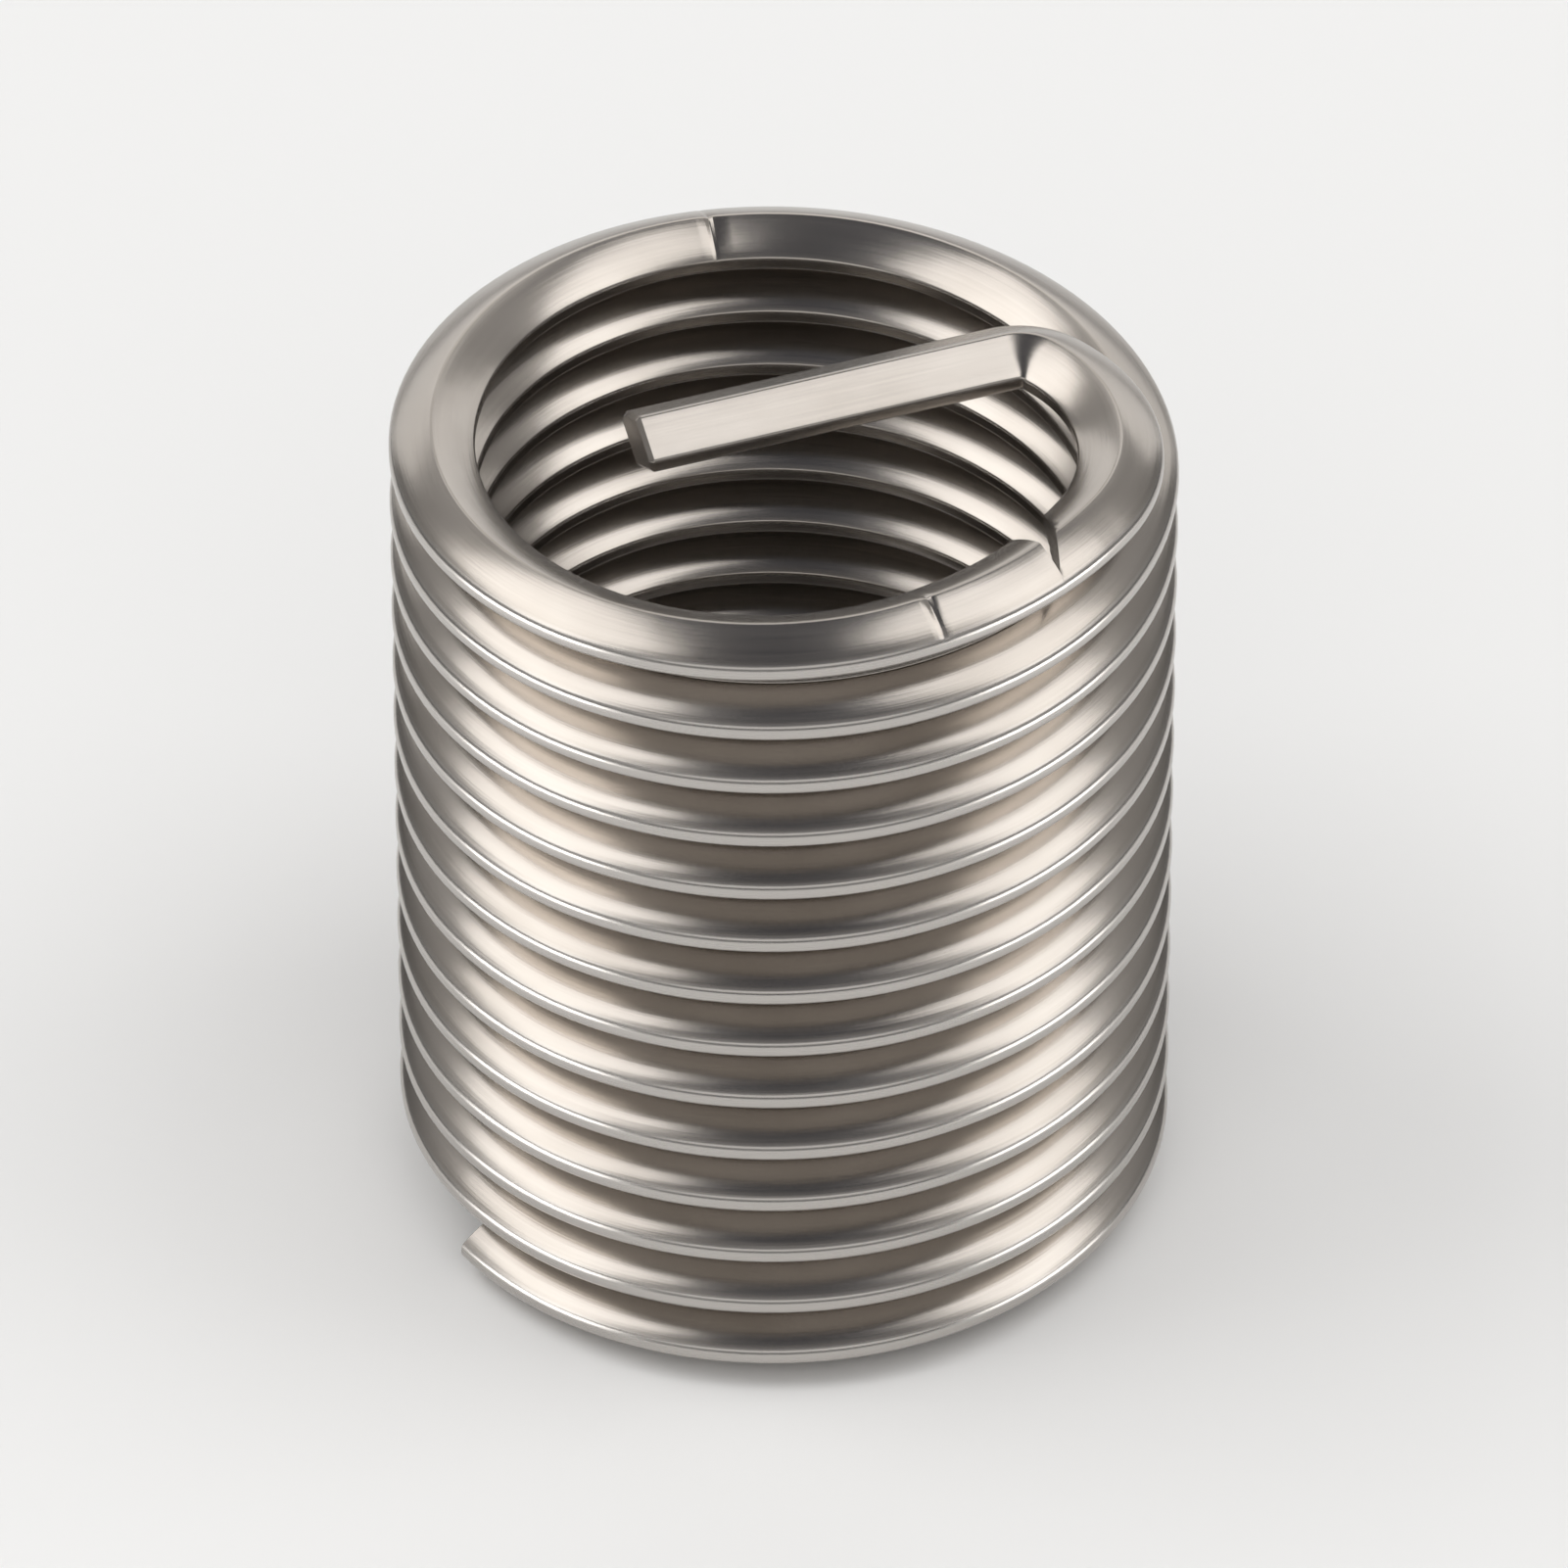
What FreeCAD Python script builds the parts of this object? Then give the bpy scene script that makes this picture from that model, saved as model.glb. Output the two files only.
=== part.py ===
"""Wire thread insert: a helical coil of diamond-section wire with a driving tang.

The wire is wound as a right-hand helix that stands on +Z, with its axis on Z and its
lowest corner at Z = 0. Its section is a 60 degree diamond with a narrow flat on the
outer and on the inner crest: outside it fits the thread tapped in the parent metal,
inside it is the thread that the screw runs in. The wire starts with a plain cut end at
the bottom. The top turn is wound slightly smaller and carries the V notch at which the
tang breaks off. Past the notch the wire turns in and bends into the straight tang, which
crosses the bore.

The wire's middle line is a chain of tangent arcs about vertical axes. So each corner of
the section follows an exact helix, each crest is a strip of a true cylinder, and each
flank is ruled between two helices.
"""
import FreeCAD, Part
import math
import os
import Sketcher
from FreeCAD import Vector

# alias, size and what it is: lengths in mm, angles in degrees
SIZES = (
    ("outer_radius", 7.20, "outside of the coil, unwound"),
    ("wire_depth", 1.57, "from the outer to the inner crest"),
    ("wire_width", 1.16, "across the two widest corners, along the axis"),
    ("outer_flat", 0.26, "width of the outer crest"),
    ("flank_angle", 30.0, "each flank to the radius"),
    ("coil_pitch", 1.25, "rise of the coil in one turn, unwound"),
    ("coil_turns", 12.25, "turns at that pitch"),
    ("start_angle", 213.0, "where the plain end lies, counter-clockwise from +X"),
    ("lift_turn", 252.0, "arc over which the top turn lifts off the coil"),
    ("lift_pitch", 1.26, "rise of that stretch in one whole turn"),
    ("top_shrink", 0.20, "middle line of the top turn inside that of the coil"),
    ("top_turn", 96.0, "arc of the top turn, up to where it draws inwards"),
    ("draw_radius", 7.30, "middle line past the top turn, where the notch is"),
    ("draw_turn", 37.0, "arc of that stretch"),
    ("shoulder_radius", 3.30, "middle line where the wire turns in towards the tang"),
    ("shoulder_turn", 83.0, "arc of that shoulder"),
    ("bend_radius", 0.90, "middle line of the bend at the tang"),
    ("bend_turn", 59.0, "arc of that bend"),
    ("tang_length", 7.12, "straight part of the tang"),
    ("notch_turn", 29.0, "from the end of the top turn to the break-off notch"),
    ("notch_mouth", 1.00, "width of the notch at the inner crest, along the wire"),
    ("notch_depth", 1.38, "from the inner crest to the edge of the notch"),
    ("notch_lean", 0.70, "edge of the notch off the middle of its mouth, towards the start"),
    ("notch_margin", 0.05, "the notch's cutter stands over the wire and into the bore by this"),
)
RIGHT_ANGLE = 90.0  # in degrees
FULL_TURN = 360.0  # in degrees
FACE_ARC = 90.0  # the longest arc that one face covers, in degrees
JOIN_GAP = 1e-4  # edges that lie this close are one edge, in mm


def add_sheet(doc):
    """The driving dimensions, one to a row: what it is, and its value under an alias."""
    sheet = doc.addObject("Spreadsheet::Sheet", "sizes")
    for row, (alias, size, meaning) in enumerate(SIZES, start=1):
        sheet.set(f"A{row}", meaning)
        sheet.set(f"B{row}", str(size))
        sheet.setAlias(f"B{row}", alias)
    doc.recompute()
    return sheet


def add_section(doc, sheet):
    """The wire's section as a sketch: X is the distance from the coil's axis, Y runs along it."""
    outer_x, ridge_x = sheet.outer_radius, sheet.outer_radius - sheet.wire_depth / 2
    inner_x = sheet.outer_radius - sheet.wire_depth
    flat_y, ridge_y = sheet.outer_flat / 2, sheet.wire_width / 2
    corners = [
        Vector(outer_x, flat_y, 0),
        Vector(ridge_x, ridge_y, 0),
        Vector(inner_x, flat_y, 0),
        Vector(inner_x, -flat_y, 0),
        Vector(ridge_x, -ridge_y, 0),
        Vector(outer_x, -flat_y, 0),
    ]
    sketch = doc.addObject("Sketcher::SketchObject", "wire_section")
    count = len(corners)
    for k in range(count):
        side = Part.LineSegment(corners[k], corners[(k + 1) % count])
        sketch.addGeometry(side, False)
    for k in range(count):
        joint = Sketcher.Constraint("Coincident", k, 2, (k + 1) % count, 1)
        sketch.addConstraint(joint)

    upper_outer, upper_inner, inner_crest, lower_outer, outer_crest = 0, 1, 2, 4, 5
    start, end, x_axis, origin = 1, 2, -1, (-1, 1)
    mirrored = (
        (outer_crest, start, outer_crest, end),
        (upper_outer, end, lower_outer, start),
        (inner_crest, start, inner_crest, end),
    )
    for pair in mirrored:
        sketch.addConstraint(Sketcher.Constraint("Symmetric", *pair, x_axis))
    sketch.addConstraint(Sketcher.Constraint("Parallel", upper_inner, lower_outer))
    angle = math.radians(sheet.flank_angle)
    measured = (
        ("outer_radius", "DistanceX", (*origin, outer_crest, start), outer_x),
        ("wire_depth", "DistanceX", (inner_crest, start, outer_crest, end), outer_x - inner_x),
        ("wire_width", "DistanceY", (lower_outer, start, upper_outer, end), 2 * ridge_y),
        ("outer_flat", "DistanceY", (outer_crest, start, outer_crest, end), 2 * flat_y),
        ("flank_angle", "Angle", (upper_outer, end, x_axis, start), angle),
    )
    for name, kind, places, size in measured:
        index = sketch.addConstraint(Sketcher.Constraint(kind, *places, size))
        sketch.renameConstraint(index, name)
        unit = " * 1 deg" if kind == "Angle" else ""
        sketch.setExpression(f"Constraints.{name}", f"sizes.{name}{unit}")
    doc.recompute()
    return sketch


def polar(radius, angle):
    """The point in the XY plane at this radius and angle in degrees."""
    turn = math.radians(angle)
    return Vector(radius * math.cos(turn), radius * math.sin(turn), 0)


class Arc:
    """A stretch of the wire about a vertical axis: it turns and climbs evenly."""

    def __init__(self, start, angle, radius, turn, pitch):
        """start is the middle line's first point; angle is where it lies, seen from the axis."""
        self.centre = start - polar(radius, angle)
        self.angle, self.radius, self.turn = angle, radius, turn
        self.rise = pitch * turn / FULL_TURN

    def middle(self, turn):
        """The point of the middle line this many degrees on from the start."""
        height = Vector(0, 0, self.rise * turn / self.turn)
        return self.centre + polar(self.radius, self.angle + turn) + height

    def edge(self, corner, share, part):
        """The path of one corner of the section over one of the stretch's equal parts."""
        radius, rise = self.radius + corner.x, self.rise * share
        turn = self.turn * share
        helix = Part.makeHelix(rise * FULL_TURN / turn, rise, radius)
        helix.rotate(Vector(0, 0, 0), Vector(0, 0, 1), self.angle + part * turn)
        helix.translate(self.centre + Vector(0, 0, corner.y + part * rise))
        return helix.Edges[0]

    def crest(self, path, next_path, corner):
        """The crest between two corners that lie equally far out: a strip of a cylinder."""
        ends = [
            Part.makeLine(path.valueAt(place), next_path.valueAt(place_next))
            for place, place_next in (
                (path.FirstParameter, next_path.FirstParameter),
                (path.LastParameter, next_path.LastParameter),
            )
        ]
        cylinder = Part.Cylinder()
        cylinder.Center = Vector(self.centre.x, self.centre.y, 0)
        cylinder.Radius = self.radius + corner.x
        strip = Part.Face(cylinder, Part.Wire([path, ends[1], next_path, ends[0]]))
        strip.validate()
        return strip

    def faces(self, corners):
        parts = max(1, math.ceil(self.turn / FACE_ARC - JOIN_GAP))
        found = []
        for part in range(parts):
            paths = [self.edge(corner, 1 / parts, part) for corner in corners]
            for k, corner in enumerate(corners):
                path, next_path = paths[k], paths[(k + 1) % len(paths)]
                if abs(corner.x - corners[(k + 1) % len(corners)].x) < JOIN_GAP:
                    found.append(self.crest(path, next_path, corner))
                else:
                    found.append(Part.makeRuledSurface(path, next_path))
        return found


def cap(middle, outwards, corners):
    """The flat cut across the wire at a point of its middle line, where outwards is an angle."""
    points = [middle + polar(corner.x, outwards) + Vector(0, 0, corner.y) for corner in corners]
    return Part.Face(Part.makePolygon(points + points[:1])), points


def wound_stretches(sheet, middle_radius):
    """The arcs of the middle line from the plain end to the tang, each tangent to the last."""
    coil_climb = sheet.coil_pitch / middle_radius
    rows = (
        (middle_radius, sheet.coil_turns * FULL_TURN, sheet.coil_pitch),
        (middle_radius, sheet.lift_turn, sheet.lift_pitch),
        (middle_radius - sheet.top_shrink, sheet.top_turn, sheet.coil_pitch),
        (sheet.draw_radius, sheet.draw_turn, coil_climb * sheet.draw_radius),
        (sheet.shoulder_radius, sheet.shoulder_turn, coil_climb * sheet.shoulder_radius),
        (sheet.bend_radius, sheet.bend_turn, coil_climb * sheet.bend_radius),
    )
    angle = sheet.start_angle
    point = polar(middle_radius, angle) + Vector(0, 0, sheet.wire_width / 2)
    stretches = []
    for radius, turn, pitch in rows:
        stretches.append(Arc(point, angle, radius, turn, pitch))
        point = stretches[-1].middle(turn)
        angle += turn
    return stretches


def wound_solid(stretches, corners, tang_length):
    """The whole wire as one closed solid, from the plain end to the tip of the tang."""
    first, last = stretches[0], stretches[-1]
    root_middle, root_angle = last.middle(last.turn), last.angle + last.turn
    tip_middle = root_middle + polar(tang_length, root_angle + RIGHT_ANGLE)
    first_cap, _ = cap(first.middle(0), first.angle, corners)
    _, root = cap(root_middle, root_angle, corners)
    tip_cap, tip = cap(tip_middle, root_angle, corners)
    faces = [face for stretch in stretches for face in stretch.faces(corners)]
    for k in range(len(root)):
        ahead = (k + 1) % len(root)
        side = Part.makePolygon([root[k], root[ahead], tip[ahead], tip[k], root[k]])
        faces.append(Part.Face(side))
    shell = Part.makeShell(faces + [first_cap, tip_cap])
    shell.sewShape(JOIN_GAP)
    return Part.makeSolid(shell)


def add_wire(doc, sheet, sketch):
    """The wire before its notch is cut, wound from the section drawn in the sketch."""
    section = [vertex.Point for vertex in sketch.Shape.Vertexes]
    middle_radius = max(section, key=lambda point: point.y).x
    corners = [Vector(point.x - middle_radius, point.y, 0) for point in section]
    stretches = wound_stretches(sheet, middle_radius)
    wire = doc.addObject("Part::Feature", "plain_wire")
    wire.Shape = wound_solid(stretches, corners, sheet.tang_length)
    wire.Placement = FreeCAD.Placement()
    draw = stretches[-3]
    inner_crest = min(corners, key=lambda corner: corner.x).x
    return wire, draw, inner_crest


def add_notch(doc, sheet, draw, inner_crest):
    """The cutter of the break-off notch: a wedge whose upright edge points outwards."""
    cutter = doc.addObject("Part::Wedge", "notch_cutter")
    limits = {
        "Xmin": "-sizes.notch_mouth / 2",
        "Xmax": "sizes.notch_mouth / 2",
        "X2min": "sizes.notch_lean",
        "X2max": "sizes.notch_lean",
        "Ymin": "-sizes.notch_margin",
        "Ymax": "sizes.notch_depth",
        "Zmin": "-sizes.wire_width / 2 - sizes.notch_margin",
        "Zmax": "sizes.wire_width / 2 + sizes.notch_margin",
        "Z2min": "-sizes.wire_width / 2 - sizes.notch_margin",
        "Z2max": "sizes.wire_width / 2 + sizes.notch_margin",
    }
    for name, size in limits.items():
        cutter.setExpression(name, f"({size}) * 1 mm")
    outwards = draw.angle + sheet.notch_turn
    mouth = draw.middle(sheet.notch_turn) + polar(inner_crest, outwards)
    turned = FreeCAD.Rotation(Vector(0, 0, 1), outwards - RIGHT_ANGLE)
    cutter.Placement = FreeCAD.Placement(mouth, turned)
    return cutter


def add_insert(doc, wire, cutter):
    """The finished insert: the wire with its notch. The crests keep their quarter strips."""
    insert = doc.addObject("Part::Cut", "thread_insert")
    insert.Base = wire
    insert.Tool = cutter
    insert.Refine = False
    insert.Label = "thread_insert"
    insert.Placement = FreeCAD.Placement()
    return insert


def check(doc):
    """Stop if any feature failed, or if any shape is missing or broken."""
    for item in doc.Objects:
        if "Invalid" in item.State or "Error" in item.State:
            raise SystemExit(f"{item.Name} failed: {item.State}")
        if hasattr(item, "Shape") and (item.Shape.isNull() or not item.Shape.isValid()):
            raise SystemExit(f"{item.Name} has no valid shape")


def main():
    doc = FreeCAD.newDocument("wire_thread_insert")
    sheet = add_sheet(doc)
    sketch = add_section(doc, sheet)
    wire, draw, inner_crest = add_wire(doc, sheet, sketch)
    cutter = add_notch(doc, sheet, draw, inner_crest)
    insert = add_insert(doc, wire, cutter)
    doc.recompute()
    check(doc)

    os.makedirs("parts", exist_ok=True)
    insert.Shape.exportStep(f"parts/{insert.Label}.step")
    box = insert.Shape.BoundBox
    print(f"{insert.Label}: {insert.Shape.Volume:.1f} mm3, z {box.ZMin:.3f} to {box.ZMax:.3f} mm")


main()
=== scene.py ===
"""The looks of a wire thread insert: a coil of bright drawn stainless wire, diamond in section.

The wire starts with a plain cut end at the bottom and climbs as a right-hand helix. Its top
turn lifts off the coil, carries the V notch where the tang breaks off, turns in and bends
into the straight tang across the bore. It stands on a pale floor under soft lamps. Sizes
are in millimetres, and angles in degrees, counter-clockwise from +X, seen from above.
"""
import math
from collections import namedtuple
import bpy
import numpy as np
from mathutils import Matrix


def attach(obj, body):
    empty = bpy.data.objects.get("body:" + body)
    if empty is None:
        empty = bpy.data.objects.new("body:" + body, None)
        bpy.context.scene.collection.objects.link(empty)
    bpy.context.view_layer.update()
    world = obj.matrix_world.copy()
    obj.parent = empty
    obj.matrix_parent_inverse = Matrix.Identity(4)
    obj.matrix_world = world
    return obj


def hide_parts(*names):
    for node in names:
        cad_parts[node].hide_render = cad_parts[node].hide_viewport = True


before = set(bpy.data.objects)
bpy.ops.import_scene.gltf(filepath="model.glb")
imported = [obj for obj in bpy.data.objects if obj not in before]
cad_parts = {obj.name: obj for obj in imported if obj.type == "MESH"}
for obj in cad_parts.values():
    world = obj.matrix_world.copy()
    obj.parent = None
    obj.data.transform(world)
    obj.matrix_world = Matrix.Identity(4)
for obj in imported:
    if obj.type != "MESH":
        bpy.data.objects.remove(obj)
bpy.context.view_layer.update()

MM = 0.001  # one millimetre in metres
FULL_TURN = 360.0
RIGHT_ANGLE = 90.0

# The wire's section
OUTER_RADIUS = 7.197  # of the coil, at the outer crest
WIRE_DEPTH = 1.57  # from the outer to the inner crest
WIRE_WIDTH = 1.16  # across the two widest corners
OUTER_FLAT = 0.26
FLANK_ANGLE = 30.0
CREST_ROUND = 0.15  # radius at the two corners of the outer crest
RIDGE_ROUND = 0.09  # at the two widest corners
BORE_ROUND = 0.09  # at the two corners of the inner crest
ROUND_POINTS = 5  # along each rounded corner
FLANK_BULGE = 8.0  # how far a flank's ends turn back from its chord, where the wire is wound
FLANK_POINTS = 4  # along each flank, between its corners

# The middle line: arcs about vertical axes, each tangent to the one before
COIL_PITCH = 1.25
COIL_TURNS = 12.25
START_ANGLE = 213.0
LIFT_TURN = 252.0
LIFT_PITCH = 1.26
TOP_SHRINK = 0.20
TOP_TURN = 96.0
DRAW_RADIUS = 7.30
DRAW_TURN = 37.0
SHOULDER_RADIUS = 3.30
SHOULDER_TURN = 83.0
BEND_RADIUS = 0.90
BEND_TURN = 59.0
TANG_LENGTH = 7.12
COIL_STEP = 3.0  # from one ring of points to the next
BEND_STEP = 2.0
TANG_STEP = 0.3  # in millimetres

# The notch, cut from the bore outwards
NOTCH_TURN = 29.0  # beyond the end of the top turn
NOTCH_MOUTH = 1.00
NOTCH_DEPTH = 1.38
NOTCH_LEAN = 0.70  # its edge off the middle of its mouth, towards the plain end
NOTCH_SLOPE_RINGS = 12
NOTCH_RIM_RINGS = 6
NOTCH_RIM = 0.04  # between the rings beside its mouth

# The marks of the tool that shaped the top turn: each a dent across the upper ridge
MARK_DEPTH = 0.035
MARK_REACH = 0.09  # along the wire, to either side
MARK_RINGS = 9
LIFT_MARK = 159.6  # the angle into the lift where one mark is
DRAW_MARK = 4.5  # and beyond the end of the top turn, where the other is

# The two cut ends
TIP_BEVEL = 0.08
END_BEVEL = 0.05
SHARP_ANGLE = 35.0

# The finish: what the die's lines, faint waves and the rubbed crest do to the steel; the crest's
# brighter colour is partly wear and partly a painted highlight
STEEL = (0.415, 0.382, 0.350, 1.0)
DARKER_STEEL = (0.36, 0.328, 0.296, 1.0)
# the outer crest's colour: partly wear, partly a painted highlight that makes the crest's reflected
# line brighter
RUBBED_AND_HIGHLIGHT_STEEL = (0.50, 0.475, 0.45, 1.0)
DARKER_FROM, DARKER_AT = 0.35, 0.7  # of the noise that varies the tone
RUBBED_AND_HIGHLIGHT_TO = 0.10  # off the crest's middle, where the wear and the painted highlight are full
# beyond this off the crest's middle, neither wear nor painted highlight
NO_RUB_OR_HIGHLIGHT_FROM = 0.26
ROUGHNESS = 0.15
FINE_ROUGHNESS, BROAD_ROUGHNESS, RUBBED_ROUGHNESS = 0.10, 0.06, 0.05
FINE_HEIGHT, BROAD_HEIGHT, WAVE_HEIGHT = 0.0012, 0.0025, 0.012

# The camera: the photograph's viewing angle through a long lens
VIEW_AZIMUTH = 270.0
VIEW_ELEVATION = 40.0
LENS = 400.0
SENSOR = 36.0
FRAMED = 29.0  # the width and height that the picture shows at the insert
CLIP_START = 10.0
CENTRE = np.array([0.0, 0.0, 8.6])  # what the camera and the lamps point at

# The room
FLOOR_HALF = 1500.0
FLOOR_COLOUR = (0.84, 0.835, 0.83, 1.0)
HORIZON_COLOUR = (0.13, 0.13, 0.13, 1.0)
WALL_COLOUR = (0.44, 0.435, 0.43, 1.0)
CEILING_COLOUR = (0.08, 0.085, 0.1, 1.0)
WALL_FROM, WALL_AT = 0.1, 0.6  # sines of elevations
CEILING_FROM, CEILING_AT = 0.72, 0.92
LAMP_COLOUR = (1.0, 1.0, 0.99)
# name, azimuth and elevation, half width and half height as angles, distance, radiance,
# whether it shows in the metal, whether it lights the floor
LAMPS = (
    ("left_softbox", (177, 54), (19, 17), 600, 2.4, True, True),
    ("right_softbox", (-2, 58), (14, 20), 600, 2.2, True, True),
    ("front_softbox", (270, 40), (30, 12), 600, 0.6, True, True),
    ("back_softbox", (90, 50), (25, 12), 600, 0.85, True, True),
    ("left_card", (204, 1), (20, 12), 40, 4.2, True, False),
    ("right_card", (337, 1), (18, 12), 40, 3.4, True, False),
    ("back_card", (90, 30), (45, 14), 35, 1.05, True, False),
    ("floor_fill", (270, 62), (35, 35), 600, 0.8, False, True),
)


def unit(angle):
    """Points on the unit circle: cosine and sine of the angle, with a height of zero."""
    turn = np.radians(angle)
    return np.stack([np.cos(turn), np.sin(turn), np.zeros_like(turn)], axis=-1)


def rounded_section(bulge):
    """The section as points (outwards, up) from the wire's middle, counter-clockwise from the
    lower ridge, and how far outwards its crest is.

    Each corner becomes an arc: its centre lies on the corner's bisector, at radius /
    sin(half the corner). A flank is a shallow arc, tangent to the corners' arcs: with a
    chord c and the bulge b in radians, it stands c tan(b / 2) (1 - x^2) / 2 off the chord,
    where x runs from -1 to 1. The two crests stay flat.
    """
    slope = math.tan(math.radians(FLANK_ANGLE))
    half, flat = WIRE_WIDTH / 2, OUTER_FLAT / 2
    outer = (half - flat) / slope
    inner = outer - WIRE_DEPTH
    bore_flat = half + inner * slope
    corners = np.array([
        (0, -half), (outer, -flat), (outer, flat),
        (0, half), (inner, bore_flat), (inner, -bore_flat),
    ])
    radii = (RIDGE_ROUND, CREST_ROUND, CREST_ROUND, RIDGE_ROUND, BORE_ROUND, BORE_ROUND)
    flank_follows = (True, False, True, True, False, True)
    arcs = []
    for k, radius in enumerate(radii):
        corner = corners[k]
        back = corners[k - 1] - corner
        ahead = corners[(k + 1) % len(corners)] - corner
        back, ahead = back / np.linalg.norm(back), ahead / np.linalg.norm(ahead)
        bisector = (back + ahead) / np.linalg.norm(back + ahead)
        half_corner = math.acos(float(back @ bisector))
        centre = corner + bisector * radius / math.sin(half_corner)
        middle = math.atan2(-bisector[1], -bisector[0])
        sweep = math.pi / 2 - half_corner
        first, last = bulge * flank_follows[k - 1] - sweep, sweep - bulge * flank_follows[k]
        angles = middle + np.linspace(first, last, ROUND_POINTS)
        arcs.append(centre + radius * np.stack([np.cos(angles), np.sin(angles)], axis=-1))
    points = []
    for k, arc in enumerate(arcs):
        points.append(arc)
        if flank_follows[k]:
            chord = arcs[(k + 1) % len(arcs)][0] - arc[-1]
            x = np.linspace(-1, 1, FLANK_POINTS + 2)[1:-1, None]
            normal = np.array([chord[1], -chord[0]])
            off = (1 - x**2) * math.tan(bulge / 2) / 2
            points.append(arc[-1] + chord * (1 + x) / 2 + normal * off)
    return np.concatenate(points), outer


FLAT_SECTION, OUTER_REACH = rounded_section(0.0)
SECTION, _ = rounded_section(math.radians(FLANK_BULGE))
MIDDLE_RADIUS = OUTER_RADIUS - OUTER_REACH
SIDES = np.linalg.norm(np.roll(SECTION, -1, axis=0) - SECTION, axis=1)
WAY_ROUND = np.concatenate([[0], np.cumsum(SIDES)])
CREST_MIDDLE = WAY_ROUND[:-1][np.isclose(SECTION[:, 0], OUTER_REACH)].mean()

# An arc of the middle line; before is the wire's length before it
Arc = namedtuple("Arc", "start angle radius turn pitch step before")


def on_arc(arc, turned):
    """Points of an arc after these angles: its centre is a radius inwards of its start, a
    point is centre + radius * (cos, sin), and the height climbs evenly with the angle."""
    point = arc.start + arc.radius * (unit(arc.angle + turned) - unit(arc.angle))
    point[..., 2] += arc.pitch * turned / FULL_TURN
    return point


def wound_arcs():
    """The middle line's arcs, and the point, angle and length at which the tang starts.

    From the drawn part on, the pitch is in proportion to the radius, so the wire keeps the
    coil's slope.
    """
    climb = COIL_PITCH / MIDDLE_RADIUS
    rows = (
        (MIDDLE_RADIUS, COIL_TURNS * FULL_TURN, COIL_PITCH, COIL_STEP),
        (MIDDLE_RADIUS, LIFT_TURN, LIFT_PITCH, COIL_STEP),
        (MIDDLE_RADIUS - TOP_SHRINK, TOP_TURN, COIL_PITCH, COIL_STEP),
        (DRAW_RADIUS, DRAW_TURN, climb * DRAW_RADIUS, COIL_STEP),
        (SHOULDER_RADIUS, SHOULDER_TURN, climb * SHOULDER_RADIUS, BEND_STEP),
        (BEND_RADIUS, BEND_TURN, climb * BEND_RADIUS, BEND_STEP),
    )
    angle = START_ANGLE
    point = MIDDLE_RADIUS * unit(angle) + [0, 0, WIRE_WIDTH / 2]
    length = 0.0
    arcs = []
    for radius, turn, pitch, step in rows:
        arcs.append(Arc(point, angle, radius, turn, pitch, step, length))
        point = on_arc(arcs[-1], turn)
        angle += turn
        length += radius * math.radians(turn)
    return arcs, point, angle, length


ARCS, TANG_ROOT, TANG_ANGLE, TANG_START = wound_arcs()
LIFT, DRAW = ARCS[1], ARCS[3]
BEND_LENGTH = TANG_START - ARCS[-1].before
NOTCH_AT = DRAW.before + DRAW.radius * math.radians(NOTCH_TURN)
MARKS = (
    LIFT.before + LIFT.radius * math.radians(LIFT_MARK),
    DRAW.before + DRAW.radius * math.radians(DRAW_MARK),
)


def middle_line(length):
    """The middle line's points and outward angles at these lengths from the plain end."""
    middle = np.empty((len(length), 3))
    outward = np.empty(len(length))
    for arc in ARCS:
        here = length >= arc.before
        turned = np.degrees((length[here] - arc.before) / arc.radius)
        middle[here] = on_arc(arc, turned)
        outward[here] = arc.angle + turned
    here = length >= TANG_START
    along = (length[here] - TANG_START)[:, None]
    middle[here] = TANG_ROOT + along * unit(TANG_ANGLE + RIGHT_ANGLE)
    outward[here] = TANG_ANGLE
    return middle, outward


def notch_rings():
    """The rings at the notch: how far along the wire from its middle, and how deep it is.

    Measured at the mouth, one wall stands at its near rim and the other slopes from there
    to the far rim, so the depth falls linearly to zero.
    """
    fall = np.linspace(0, 1, NOTCH_SLOPE_RINGS)
    across = NOTCH_MOUTH * (fall - 0.5)
    rims = NOTCH_MOUTH / 2 + NOTCH_RIM * np.arange(1, NOTCH_RIM_RINGS + 1)
    across = np.concatenate([-rims[::-1], across[:1], across, rims])
    depth = np.concatenate([np.zeros(len(rims) + 1), NOTCH_DEPTH * (1 - fall), np.zeros(len(rims))])
    return across, depth


def ring_lengths():
    """The length along the wire of every ring of points, and the notch's depth there.

    Rings are evenly spaced on each arc and on the tang. At the notch and at the marks, their
    own closer rings take the place of those.
    """
    even = [
        arc.before + np.radians(np.arange(0, arc.turn, arc.step)) * arc.radius
        for arc in ARCS
    ]
    even.append(np.arange(TANG_START, TANG_START + TANG_LENGTH - TIP_BEVEL, TANG_STEP))
    even.append([TANG_START + TANG_LENGTH - TIP_BEVEL])
    even = np.concatenate(even)
    across, depth = notch_rings()
    special = [(NOTCH_AT + across, depth)]
    for mark in MARKS:
        special.append((mark + MARK_REACH * np.linspace(-1, 1, MARK_RINGS), np.zeros(MARK_RINGS)))
    for lengths, _ in special:
        even = even[(even < lengths.min() - NOTCH_RIM) | (even > lengths.max() + NOTCH_RIM)]
    length = np.concatenate([even] + [lengths for lengths, _ in special])
    depth = np.concatenate([np.zeros(len(even))] + [depths for _, depths in special])
    order = np.argsort(length, kind="stable")
    return length[order], depth[order]


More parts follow.
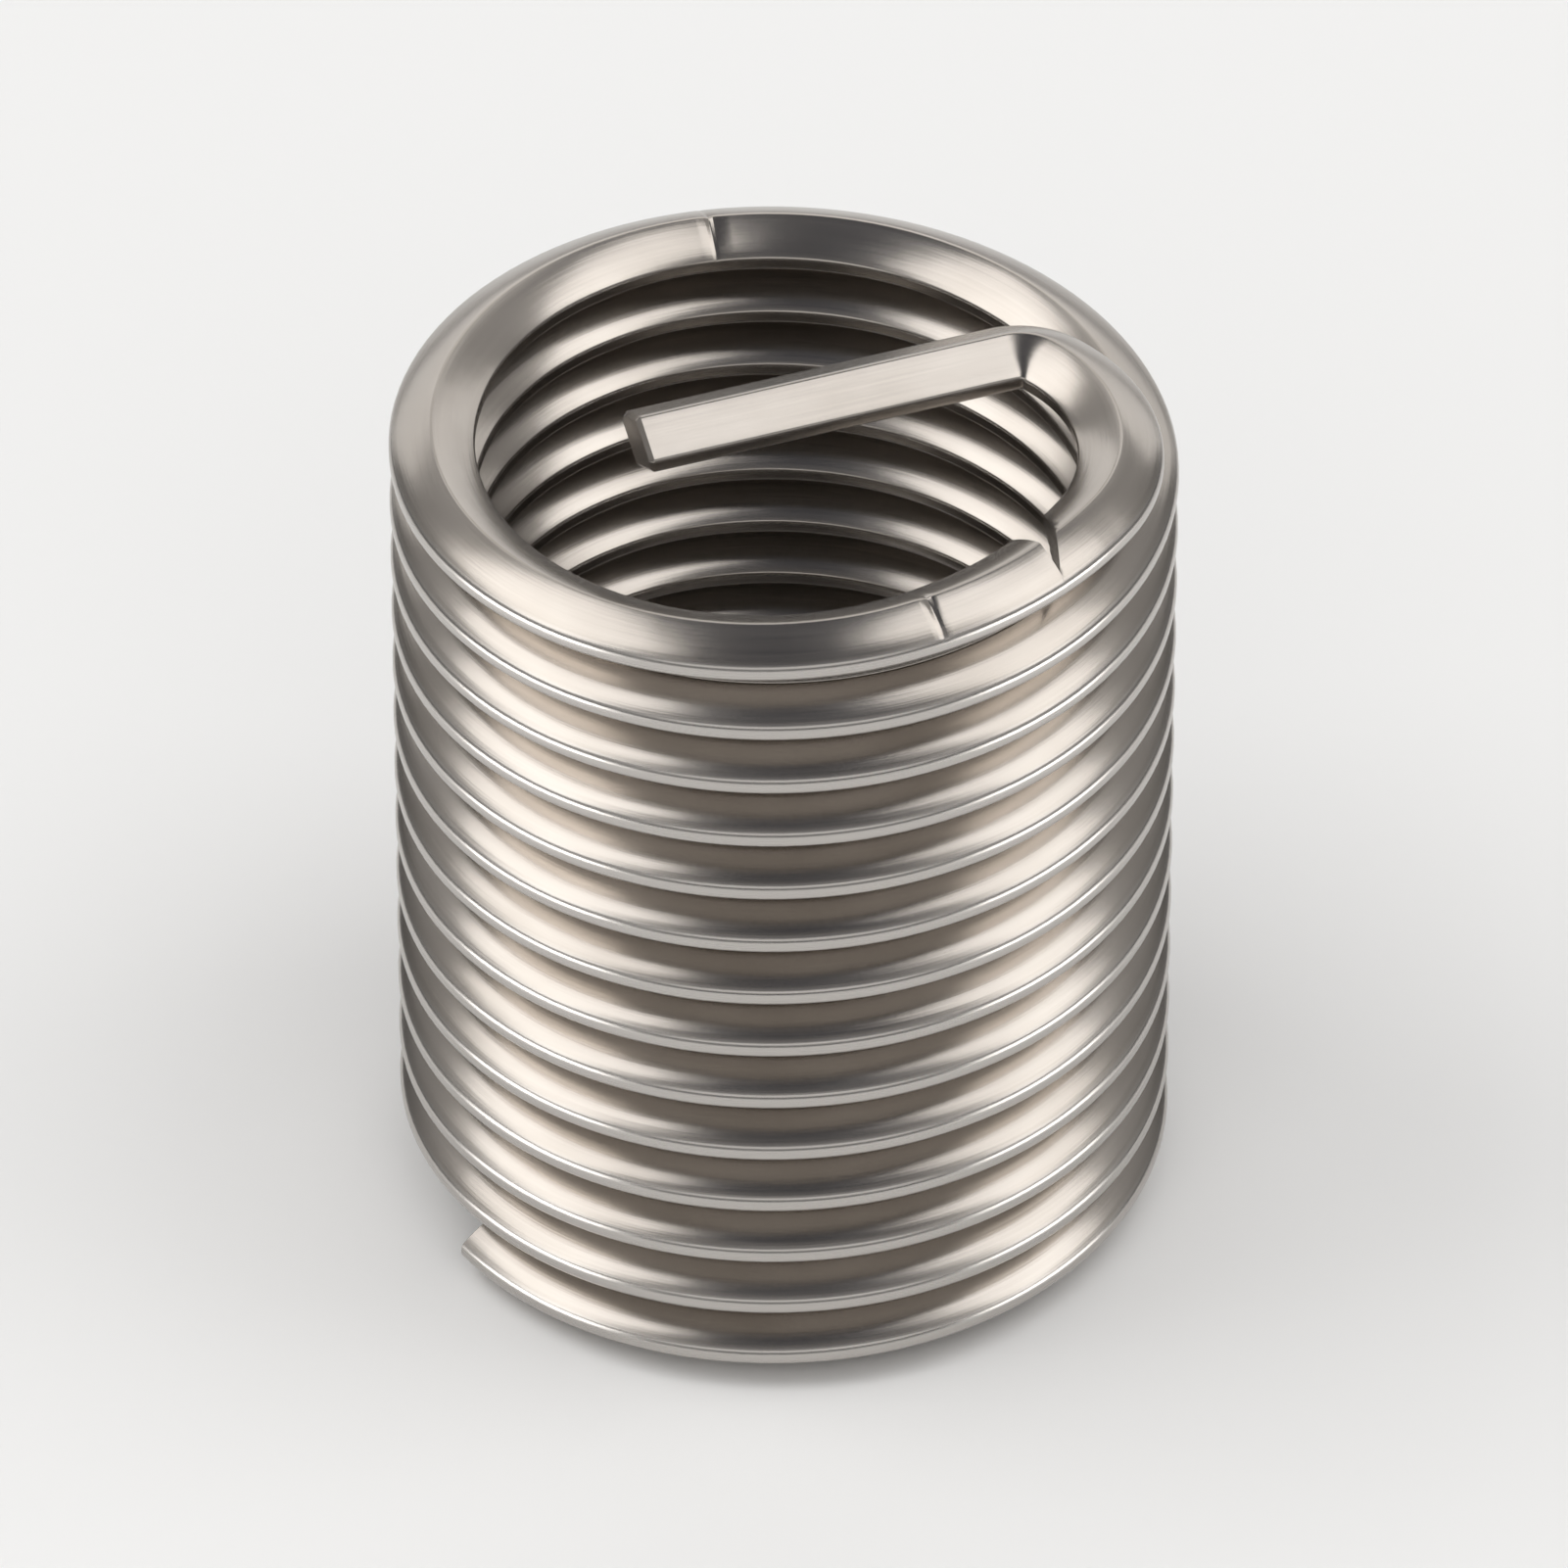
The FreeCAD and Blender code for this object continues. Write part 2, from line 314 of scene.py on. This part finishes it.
def cut_section(length, depth):
    """Each ring's section: how far outwards, up and along the wire each of its points is.

    The flanks' swell fades out over the bend. In the notch, points nearer the bore than its
    floor are moved out onto it, and no higher than the wire is there. Rings lean with the
    notch's near wall, which fades out over the rim. A mark lowers the upper half by a V of
    its depth, most at the ridge.
    """
    wound = np.clip((TANG_START - length) / BEND_LENGTH, 0, 1)[:, None, None]
    section = FLAT_SECTION + wound * (SECTION - FLAT_SECTION)
    inner = SECTION[:, 0].min()
    outwards = np.maximum(section[..., 0], inner + depth[:, None])
    upper = SECTION[SECTION[:, 1] > 0]
    upper = upper[np.argsort(upper[:, 0])]
    limit = np.interp(outwards, upper[:, 0], upper[:, 1])
    up = np.where(depth[:, None] > 0, np.clip(section[..., 1], -limit, limit), section[..., 1])

    beyond = np.abs(length - NOTCH_AT) - NOTCH_MOUTH / 2
    fade = np.clip(1 - beyond / (NOTCH_RIM * NOTCH_RIM_RINGS), 0, 1)
    lean = (NOTCH_LEAN - NOTCH_MOUTH / 2) / NOTCH_DEPTH
    along = -lean * fade[:, None] * (outwards - inner)

    for mark in MARKS:
        dent = MARK_DEPTH * np.clip(1 - np.abs(length - mark) / MARK_REACH, 0, 1)
        up = up - dent[:, None] * np.maximum(up, 0) / SECTION[:, 1].max()
    return outwards, up, along


def bevelled(ring, travel, bevel):
    """A ring narrower all round by the bevel: each point moves inwards by it, square to the
    direction of travel and to the line between the point's two neighbours."""
    along_side = np.roll(ring, -1, axis=0) - np.roll(ring, 1, axis=0)
    inwards = np.cross(along_side, travel)
    inwards /= np.linalg.norm(inwards, axis=1, keepdims=True)
    return ring + inwards * bevel


def wire_mesh():
    """The whole wire as one closed tube of rings, with a flat cap at each end.

    A vertex is middle + outwards * (cos, sin)(angle) + along * (-sin, cos)(angle) + up, for
    each ring and each point of the section. The UV map holds the length along the wire and
    the way round the section, both in millimetres.
    """
    length, depth = ring_lengths()
    length[0] = END_BEVEL
    middle, angle = middle_line(length)
    outwards, up, along = cut_section(length, depth)
    points = middle[:, None, :] + outwards[:, :, None] * unit(angle)[:, None, :]
    travel = unit(angle + RIGHT_ANGLE)
    points += along[:, :, None] * travel[:, None, :]
    points[:, :, 2] += up
    plain_end = bevelled(points[0], travel[0], END_BEVEL) - travel[0] * END_BEVEL
    tip = bevelled(points[-1], travel[-1], TIP_BEVEL) + travel[-1] * TIP_BEVEL
    points = np.concatenate([plain_end[None], points, tip[None]])
    length = np.concatenate([[0], length, [length[-1] + TIP_BEVEL]])

    rings, around = points.shape[:2]
    index = np.arange(rings * around).reshape(rings, around)
    beside = np.roll(index, -1, axis=1)
    quads = np.stack([index[:-1], beside[:-1], beside[1:], index[1:]], axis=-1).reshape(-1, 4)
    faces = quads.tolist() + [index[0][::-1].tolist(), index[-1].tolist()]
    mesh = bpy.data.meshes.new("thread_insert_wire")
    mesh.from_pydata((points.reshape(-1, 3) * MM).tolist(), [], faces)

    run = np.stack([length[:-1], length[:-1], length[1:], length[1:]], axis=-1)
    way = np.stack([WAY_ROUND[:-1], WAY_ROUND[1:], WAY_ROUND[1:], WAY_ROUND[:-1]], axis=-1)
    tube = np.empty((rings - 1, around, 4, 2))
    tube[..., 0] = run[:, None, :]
    tube[..., 1] = way[None, :, :]
    uv = np.concatenate([tube.reshape(-1, 2), SECTION[::-1], SECTION + length[-1]])
    layer = mesh.uv_layers.new(name="wire")
    layer.data.foreach_set("uv", uv.ravel().astype(np.float32))
    mesh.polygons.foreach_set("use_smooth", np.ones(len(mesh.polygons), bool))
    mesh.set_sharp_from_angle(angle=math.radians(SHARP_ANGLE))
    mesh.update()
    return mesh


class Value:
    """A node's output as a number in an expression: each operator adds its Math node."""

    def __init__(self, tree, socket):
        self.tree, self.socket = tree, socket

    def node(self, kind, settings=(), inputs=(), output=0):
        """Add a node: settings are set first, then its sockets get values or links."""
        made = self.tree.nodes.new(kind)
        for name, setting in dict(settings).items():
            setattr(made, name, setting)
        for name, given in dict(inputs).items():
            if isinstance(given, Value):
                self.tree.links.new(given.socket, made.inputs[name])
            elif given is not None:
                made.inputs[name].default_value = given
        return Value(self.tree, made.outputs[output])

    def other_output(self, name):
        """Another output of the same node."""
        return Value(self.tree, self.socket.node.outputs[name])

    def calculate(self, operation, first, second=None):
        """The result of a Math node on one or two numbers."""
        return self.node("ShaderNodeMath", {"operation": operation}, {0: first, 1: second})

    def __add__(self, other):
        return self.calculate("ADD", self, other)

    def __sub__(self, other):
        return self.calculate("SUBTRACT", self, other)

    def __rsub__(self, other):
        return self.calculate("SUBTRACT", other, self)

    def __mul__(self, other):
        return self.calculate("MULTIPLY", self, other)

    def __abs__(self):
        return self.calculate("ABSOLUTE", self)

    __radd__ = __add__
    __rmul__ = __mul__

    def ramp(self, low, high):
        """0 where this is at low, 1 at high, and a smooth step between."""
        inputs = {"Value": self, "From Min": low, "From Max": high}
        return self.node("ShaderNodeMapRange", {"interpolation_type": "SMOOTHSTEP"}, inputs)

    def mix(self, first, second):
        """The first colour where this is 0, the second where it is 1."""
        colour_a, colour_b, colour_result = 6, 7, 2  # the node's sockets that hold colours
        inputs = {"Factor": self, colour_a: first, colour_b: second}
        return self.node("ShaderNodeMix", {"data_type": "RGBA"}, inputs, colour_result)


def material(name):
    """A new material: its shader node, and a Value to start expressions from."""
    made = bpy.data.materials.new(name)
    made.use_nodes = True
    shader = made.node_tree.nodes["Principled BSDF"]
    return made, shader, Value(made.node_tree, shader.outputs["BSDF"])


def drawn_steel():
    """Bright stainless wire: fine lines along its length from the drawing die, a faint
    waviness, a warm tone that varies a little, and an outer crest painted brighter, partly as
    wear and partly as a painted highlight."""
    made, shader, start = material("drawn_stainless_wire")
    place = start.node("ShaderNodeUVMap", {"uv_map": "wire"})
    length = start.node("ShaderNodeSeparateXYZ", {}, {"Vector": place})
    around = length.other_output("Y")

    def noise(per_length, per_round, detail, roughness):
        """Noise with this many features for each millimetre of length and of way round."""
        scaled = {"X": length * per_length, "Y": around * per_round}
        vector = start.node("ShaderNodeCombineXYZ", {}, scaled)
        inputs = {"Vector": vector, "Scale": 1.0, "Detail": detail, "Roughness": roughness}
        return start.node("ShaderNodeTexNoise", {}, inputs)

    fine = noise(per_length=0.25, per_round=22.0, detail=3.0, roughness=0.6)
    broad = noise(per_length=0.12, per_round=5.0, detail=2.0, roughness=0.5)
    wave = noise(per_length=0.45, per_round=0.6, detail=2.0, roughness=0.5)
    tone = noise(per_length=0.2, per_round=0.4, detail=3.0, roughness=0.55)
    # a band along the outer crest: partly wear, partly a painted highlight; it also adds roughness
    rubbed_and_highlight = 1 - abs(around - CREST_MIDDLE).ramp(RUBBED_AND_HIGHLIGHT_TO, NO_RUB_OR_HIGHLIGHT_FROM)
    flanks = tone.ramp(DARKER_FROM, DARKER_AT).mix(STEEL, DARKER_STEEL)
    # the crest painted in the brighter steel: a painted highlight, partly wear
    colour = rubbed_and_highlight.mix(flanks, RUBBED_AND_HIGHLIGHT_STEEL)
    roughness = (
        ROUGHNESS + FINE_ROUGHNESS * fine + BROAD_ROUGHNESS * broad + RUBBED_ROUGHNESS * rubbed_and_highlight
    )
    height = FINE_HEIGHT * fine + BROAD_HEIGHT * broad + WAVE_HEIGHT * wave
    inputs = {"Height": height * MM, "Distance": 1.0, "Strength": 1.0}
    bump = start.node("ShaderNodeBump", {}, inputs)
    for name, value in (("Base Color", colour), ("Roughness", roughness), ("Normal", bump)):
        start.tree.links.new(value.socket, shader.inputs[name])
    shader.inputs["Metallic"].default_value = 1.0
    return made


def insert_wire():
    """The whole insert, which stands for the CAD node."""
    piece = bpy.data.objects.new("thread_insert_wire", wire_mesh())
    bpy.context.scene.collection.objects.link(piece)
    piece.data.materials.append(drawn_steel())
    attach(piece, "root")
    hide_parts("thread_insert")


def pale_floor():
    """Matt and pale, without any gloss."""
    made, shader, _ = material("pale_floor")
    shader.inputs["Base Color"].default_value = FLOOR_COLOUR
    shader.inputs["Roughness"].default_value = 1.0
    shader.inputs["Specular IOR Level"].default_value = 0.0
    return made


def floor():
    """A plain pale floor, wide enough to fill every view."""
    corners = FLOOR_HALF * MM * np.array([(-1, -1, 0), (1, -1, 0), (1, 1, 0), (-1, 1, 0)])
    mesh = bpy.data.meshes.new("floor")
    mesh.from_pydata(corners.tolist(), [], [(0, 1, 2, 3)])
    mesh.materials.append(pale_floor())
    plane = bpy.data.objects.new("floor", mesh)
    bpy.context.scene.collection.objects.link(plane)


def towards(azimuth, elevation):
    """The unit vector from the insert to this azimuth and elevation."""
    level = math.cos(math.radians(elevation))
    return level * unit(azimuth) + [0, 0, math.sin(math.radians(elevation))]


def aim(thing, azimuth, elevation, distance):
    """Put a lamp or the camera this far off, looking at the insert's centre, top upwards."""
    forwards = -towards(azimuth, elevation)
    side = np.cross(forwards, [0, 0, 1])
    side /= np.linalg.norm(side)
    matrix = np.eye(4)
    matrix[:3, :3] = np.stack([side, np.cross(side, forwards), -forwards], axis=1)
    matrix[:3, 3] = (CENTRE - distance * forwards) * MM
    thing.matrix_world = Matrix(matrix.tolist())


def lamps():
    """Softboxes all round, cards close by that only show in the metal, and a fill that only
    lights the floor. A lamp's power is its radiance times pi times its area."""
    for name, direction, half_angles, distance, radiance, in_metal, on_floor in LAMPS:
        lamp = bpy.data.lights.new(name, "AREA")
        lamp.shape = "RECTANGLE"
        lamp.size, lamp.size_y = 2 * distance * MM * np.tan(np.radians(half_angles))
        lamp.energy = radiance * math.pi * lamp.size * lamp.size_y
        lamp.color = LAMP_COLOUR
        thing = bpy.data.objects.new(name, lamp)
        bpy.context.scene.collection.objects.link(thing)
        aim(thing, *direction, distance)
        thing.visible_camera = False
        thing.visible_glossy = in_metal
        thing.visible_diffuse = on_floor


def surroundings():
    """The room: dim at the horizon, brighter half-way up, and a dim cool grey overhead."""
    world = bpy.data.worlds.new("room")
    bpy.context.scene.world = world
    world.use_nodes = True
    back = world.node_tree.nodes["Background"]
    start = Value(world.node_tree, back.outputs[0])
    direction = start.node("ShaderNodeTexCoord").other_output("Generated")
    height = start.node("ShaderNodeSeparateXYZ", {}, {"Vector": direction}, "Z")
    wall = height.ramp(WALL_FROM, WALL_AT).mix(HORIZON_COLOUR, WALL_COLOUR)
    colour = height.ramp(CEILING_FROM, CEILING_AT).mix(wall, CEILING_COLOUR)
    world.node_tree.links.new(colour.socket, back.inputs["Color"])


def camera():
    """The camera stands where its lens shows the framed width at the insert's centre."""
    data = bpy.data.cameras.new("camera")
    data.lens = LENS
    data.sensor_width = SENSOR
    data.clip_start = CLIP_START * MM
    thing = bpy.data.objects.new("camera", data)
    bpy.context.scene.collection.objects.link(thing)
    aim(thing, VIEW_AZIMUTH, VIEW_ELEVATION, FRAMED * LENS / SENSOR)
    bpy.context.scene.camera = thing


insert_wire()
floor()
lamps()
surroundings()
camera()
bpy.context.scene.view_settings.view_transform = "Standard"
